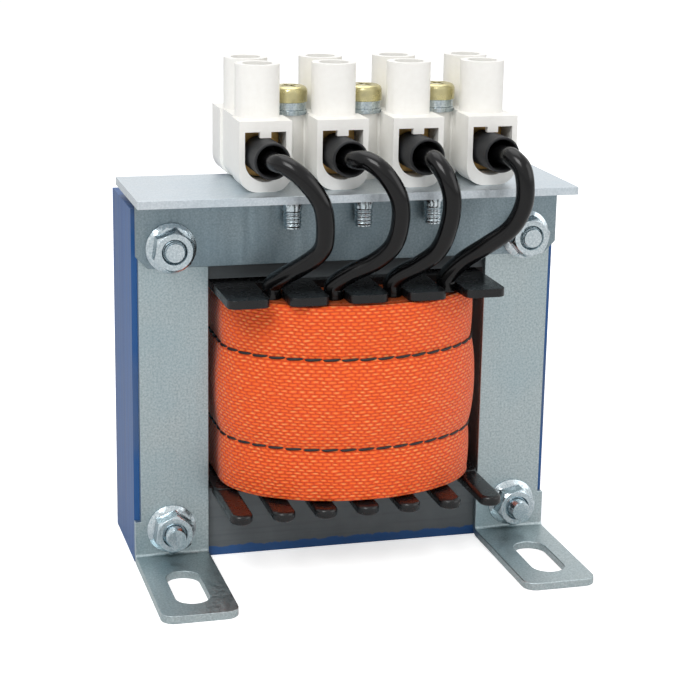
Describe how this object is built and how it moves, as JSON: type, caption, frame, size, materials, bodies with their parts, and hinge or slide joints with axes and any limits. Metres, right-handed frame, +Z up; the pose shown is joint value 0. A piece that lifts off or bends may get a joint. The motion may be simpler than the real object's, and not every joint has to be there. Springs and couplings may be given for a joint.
{
  "type": "laminated chassis transformer",
  "caption": "Open-frame laminated transformer with slotted bracket feet, a webbing-wrapped coil and a screw terminal strip on a shelf above the core.",
  "frame": {"origin": "centre of the bounding box's underside, on the plane of the feet", "axes": "+Z up, +X to the right along the core's width, and the terminal side and the feet face -Y"},
  "size_m": [0.085, 0.0731, 0.0965],
  "materials": {
    "core_steel": "varnished gray plate faces with blue painted edges",
    "zinc_sheet": "bluish zinc plate with a fine mottle and raw sheared edges",
    "zinc_hardware": "bright blue zinc plate",
    "yellow_zinc": "yellow iridescent zinc plate",
    "black_moulding": "glossy black moulding",
    "magnet_wire": "enamelled copper wire",
    "insulation_film": "wrapped film",
    "orange_webbing": "woven orange webbing with black stitching",
    "white_moulding": "ivory moulding with soft sheen",
    "clamp_brass": "turned brass",
    "gray_collar": "dark gray plastic",
    "black_lead": "glossy black insulation"
  },
  "bodies": {
    "root": {"e_plates": "core_steel", "i_plates": "core_steel", "left_bracket": "zinc_sheet", "right_bracket": "zinc_sheet", "shelf_plate": "zinc_sheet", "shelf_flange": "zinc_sheet", "shelf_studs": "zinc_hardware", "core_bolts": "zinc_hardware", "flange_nuts": "zinc_hardware", "bobbin": "black_moulding", "inner_winding": "magnet_wire", "layer_insulation": "insulation_film", "outer_winding": "magnet_wire", "webbing_wrap": "orange_webbing", "terminal_housing": "white_moulding", "clamp_bodies": "clamp_brass", "clamp_screws": "zinc_hardware", "fixing_screws": "yellow_zinc", "spring_washers": "zinc_hardware", "flat_washers": "zinc_hardware", "lead_collars": "gray_collar", "lead_pins": "zinc_hardware", "lead_1": "black_lead", "lead_2": "black_lead", "lead_3": "black_lead", "lead_4": "black_lead"}
  },
  "joints": []
}
